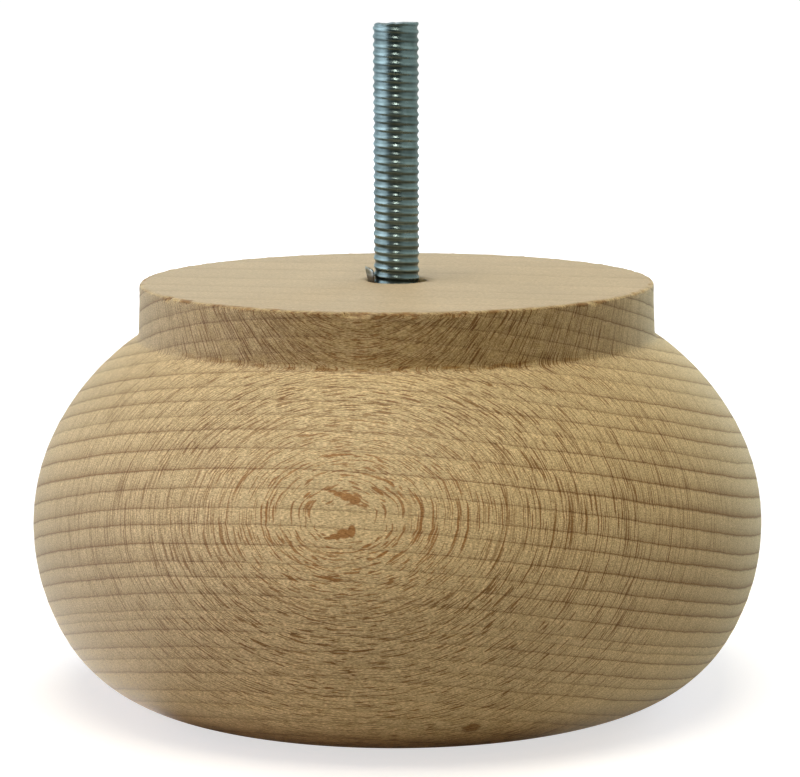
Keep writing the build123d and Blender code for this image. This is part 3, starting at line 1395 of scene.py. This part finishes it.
@dataclass(frozen=True)
class Room:
    """Painted reflections of a room, glowing for gloss alone: pale window, dark front, green side.
    """

    radius: float = 2.6  # of the dome, in metres
    columns: int = 73
    wall_rows: int = 12
    floor_rings: tuple[float, ...] = (0.0462, 0.07, 0.3, 1.0, 2.6)
    floor_height: float = 0.0004
    far_side: str = "A3AEB2"
    window: str = "F0F7FF"
    front: str = "474C46"
    green_side: str = "C8D0C9"
    window_starts: Span = (-130.0, -85.0)  # azimuths between which one tint takes over
    front_starts: Span = (-58.0, -44.0)
    green_starts: Span = (20.0, 42.0)
    glow: Span = (2.1, 1.0)  # strength to the left of the dark front, and from there on
    glint_card: str = "FFF6E4"
    glint_glow: float = 14.0
    glint_distance: float = 2.4
    glint_azimuths: Span = (-5.0, 8.0)
    glint_elevations: Span = (44.0, 58.0)

    def hang(self, name: str, grid: np.ndarray, material: bpy.types.Material) -> None:
        """Hangs a sheet that only gloss shows.

        Args:
            name: the sheet's name.
            grid: rows by columns of points, in metres.
            material: what it glows with.
        """
        rows, columns = grid.shape[:2]
        inward = grid_quads(rows, columns)[:, [0, 3, 2, 1]]
        sheet = mesh_object(name, grid.reshape(-1, 3), inward)
        sheet.data.materials.append(material)
        # The sheet glows only for gloss and lights nothing: a painted reflection
        sheet.visible_camera = sheet.visible_diffuse = sheet.visible_shadow = False
        sheet.visible_transmission = sheet.visible_volume_scatter = False

    def paint(self) -> bpy.types.Material:
        """Makes the walls' glow, which changes with the azimuth atan2(x, -y).

        Returns:
            The material.
        """
        # Painted reflections of walls and a window for the metal, from cold white to near black
        material, tree = new_material("painted_room_reflection")
        apart = add_node(tree, "SeparateXYZ", (add_node(tree, "TexCoord", output="Object"),))
        x, y = Pattern(apart.node, 0), Pattern(apart.node, 1)
        azimuth = add_node(tree, "Math", (x, y * -1.0), operation="ARCTAN2")
        tint: Any = linear(self.far_side)
        sides = (
            (self.window_starts, self.window),
            (self.front_starts, self.front),
            (self.green_starts, self.green_side),
        )
        blends = []
        for starts, colour in sides:
            ends = (math.radians(angle) for angle in starts)
            blend = add_node(
                tree, "MapRange", (azimuth, *ends), interpolation_type="SMOOTHSTEP"
            )
            mix = {0: blend, 6: tint, 7: linear(colour)}
            tint = add_node(tree, "Mix", mix, 2, data_type="RGBA")
            blends.append(blend)
        level = add_node(tree, "MapRange", (blends[1], 0.0, 1.0, *self.glow))
        light = add_node(tree, "Emission", (tint, level))
        add_node(tree, "OutputMaterial", {"Surface": light})
        return material

    def build(self) -> None:
        """Makes the dome (r cos e sin a, -r cos e cos a, r sin e), its floor and a glint card."""
        paint = self.paint()
        a = np.radians(np.linspace(-180.0, 180.0, self.columns))
        e = np.radians(np.linspace(0.0, 89.0, self.wall_rows))[:, None]
        wall = round_points(self.radius * np.cos(e), self.radius * np.sin(e), a)
        self.hang("room_reflection_wall", wall, paint)
        rings = np.array(self.floor_rings)[:, None]
        ground = round_points(rings, np.full_like(rings, self.floor_height), a)
        self.hang("room_reflection_floor", ground, paint)
        # A card that glows only for gloss paints the thin bright glints on the thread; it lights
        # nothing
        glint_card, tree = new_material("painted_glint")
        light = add_node(tree, "Emission", (linear(self.glint_card), self.glint_glow))
        add_node(tree, "OutputMaterial", {"Surface": light})
        a = np.radians(np.linspace(*self.glint_azimuths, 5))
        e = np.radians(np.linspace(*self.glint_elevations, 4))[:, None]
        card = self.glint_distance * round_points(np.cos(e), np.sin(e), a)
        self.hang("glint_card_sheet", card, glint_card)


@dataclass
class Studio:
    """Pale floor, white surroundings, soft lamps and the camera."""

    lamps: tuple[Softbox, ...] = (
        Softbox("overhead_softbox", -12.0, 76.0, 1.3, 0.8, 0.82, "FFFCF2"),
        Softbox("front_bulb", 0.0, 30.0, 1.3, 0.6, 0.09, "FFD7A6"),
        Softbox("left_window", -84.0, 18.0, 1.2, 1.0, 0.33, "9CC0FF"),
        Softbox("left_card", -78.0, 3.0, 0.9, 0.14, 0.14, "FFE8F4"),
        Softbox("back_left_strip", -150.0, 4.0, 1.6, 0.8, 0.15, "9FC0FF"),
        Softbox("back_right_window", 146.0, 4.0, 1.6, 0.8, 2.1, "BED8FF"),
        Softbox("right_card", 80.0, 20.0, 1.4, 0.8, 0.025, "F0F6FF"),
    )
    room: Room = Room()
    ambient: float = 0.04
    floor_half: float = 14.0  # half the sheet's width, in metres
    floor_steps: int = 9
    floor_drop: float = 0.0002  # below the base
    # Paler near the foot: a painted pool of light that bounces more light onto the foot's underside
    floor_bounce_near: str = "D0CAC1"
    floor_far: str = "A9A5A0"
    floor_bounce_fade: Span = (0.08, 0.22)  # distances between which the colour changes
    floor_white: float = 0.64  # what is added near the foot for rays that see the background
    floor_whitens: Span = (0.08, 0.5)  # distances between which that rises to white
    focal: float = 135.0
    camera_place: Triple = (0.00052, -0.517, 0.1324)  # metres
    pitch: float = -8.79  # degrees
    roll: float = -0.20

    def world(self) -> None:
        """White for what sees the background, a plain grey light for the rest."""
        world = bpy.data.worlds.new("studio")
        world.use_nodes = True
        tree = world.node_tree
        tree.nodes.clear()
        level = add_node(tree, "MapRange", {0: sees_background(tree), 3: self.ambient, 4: 1.0})
        light = add_node(tree, "Background", ((1, 1, 1, 1), level))
        add_node(tree, "OutputWorld", {"Surface": light})
        bpy.context.scene.world = world

    def floor(self) -> None:
        """Lays a wide pale sheet under the foot."""
        line = np.linspace(-self.floor_half, self.floor_half, self.floor_steps)
        x, y = np.meshgrid(line, line)
        points = np.stack([x, y, np.full_like(x, -self.floor_drop)], -1).reshape(-1, 3)
        sheet = mesh_object("floor_sheet", points, grid_quads(self.floor_steps, self.floor_steps))
        # Matt white paper: it keeps the foot's soft shadow and runs out to plain white
        material, tree = new_material("white_paper_floor")
        metres = add_node(tree, "TexCoord", output="Object")
        away = add_node(tree, "VectorMath", (metres,), "Value", operation="LENGTH")
        # Painted pool of light: paler near the foot, so it lights the foot's underside more
        change = add_node(tree, "MapRange", (away, *self.floor_bounce_fade))
        tints = {0: change, 6: linear(self.floor_bounce_near), 7: linear(self.floor_far)}
        paper = add_node(tree, "BsdfDiffuse", (add_node(tree, "Mix", tints, 2, data_type="RGBA"),))
        level = add_node(tree, "MapRange", (away, *self.floor_whitens, self.floor_white, 1.0))
        lit = add_node(tree, "Emission", ((1, 1, 1, 1), level))
        white = add_node(tree, "AddShader", (paper, lit))
        both = add_node(tree, "MixShader", (sees_background(tree), paper, white))
        add_node(tree, "OutputMaterial", {"Surface": both})
        sheet.data.materials.append(material)

    def camera(self) -> None:
        """Sets up a long lens a little above the foot, as in the photograph."""
        data = bpy.data.cameras.new("camera")
        data.sensor_width, data.lens = 36.0, self.focal
        data.clip_start, data.clip_end = 0.01, 60.0
        camera = bpy.data.objects.new("camera", data)
        camera.location = self.camera_place
        aim = Euler((math.radians(90 + self.pitch), 0.0, 0.0)).to_matrix()
        tilt = Euler((0.0, 0.0, math.radians(self.roll))).to_matrix()
        camera.rotation_euler = (aim @ tilt).to_euler()
        bpy.context.scene.collection.objects.link(camera)
        bpy.context.scene.camera = camera

    def build(self) -> None:
        """Sets the whole studio up."""
        self.world()
        self.floor()
        self.room.build()
        for lamp in self.lamps:
            lamp.build()
        self.camera()
        bpy.context.scene.view_settings.view_transform = "Standard"


def main() -> None:
    """Builds the pieces in order, keeps the boxes of both models and reports."""
    logging.basicConfig(level=logging.INFO, format="%(name)s %(message)s")
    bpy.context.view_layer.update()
    Studio().build()
    TurnedBody().build(BareBeech().build())
    ThreadedStud().build(ZincPlate("zinc_plated_rod").build())
    insert = ZincPlate("zinc_plated_insert", "C6CCCB", "8E8A76", 0.34, 72.3).build()
    ThreadedInsert().build(insert)
    MetalBurr().build(insert)


if __name__ == "__main__":
    main()
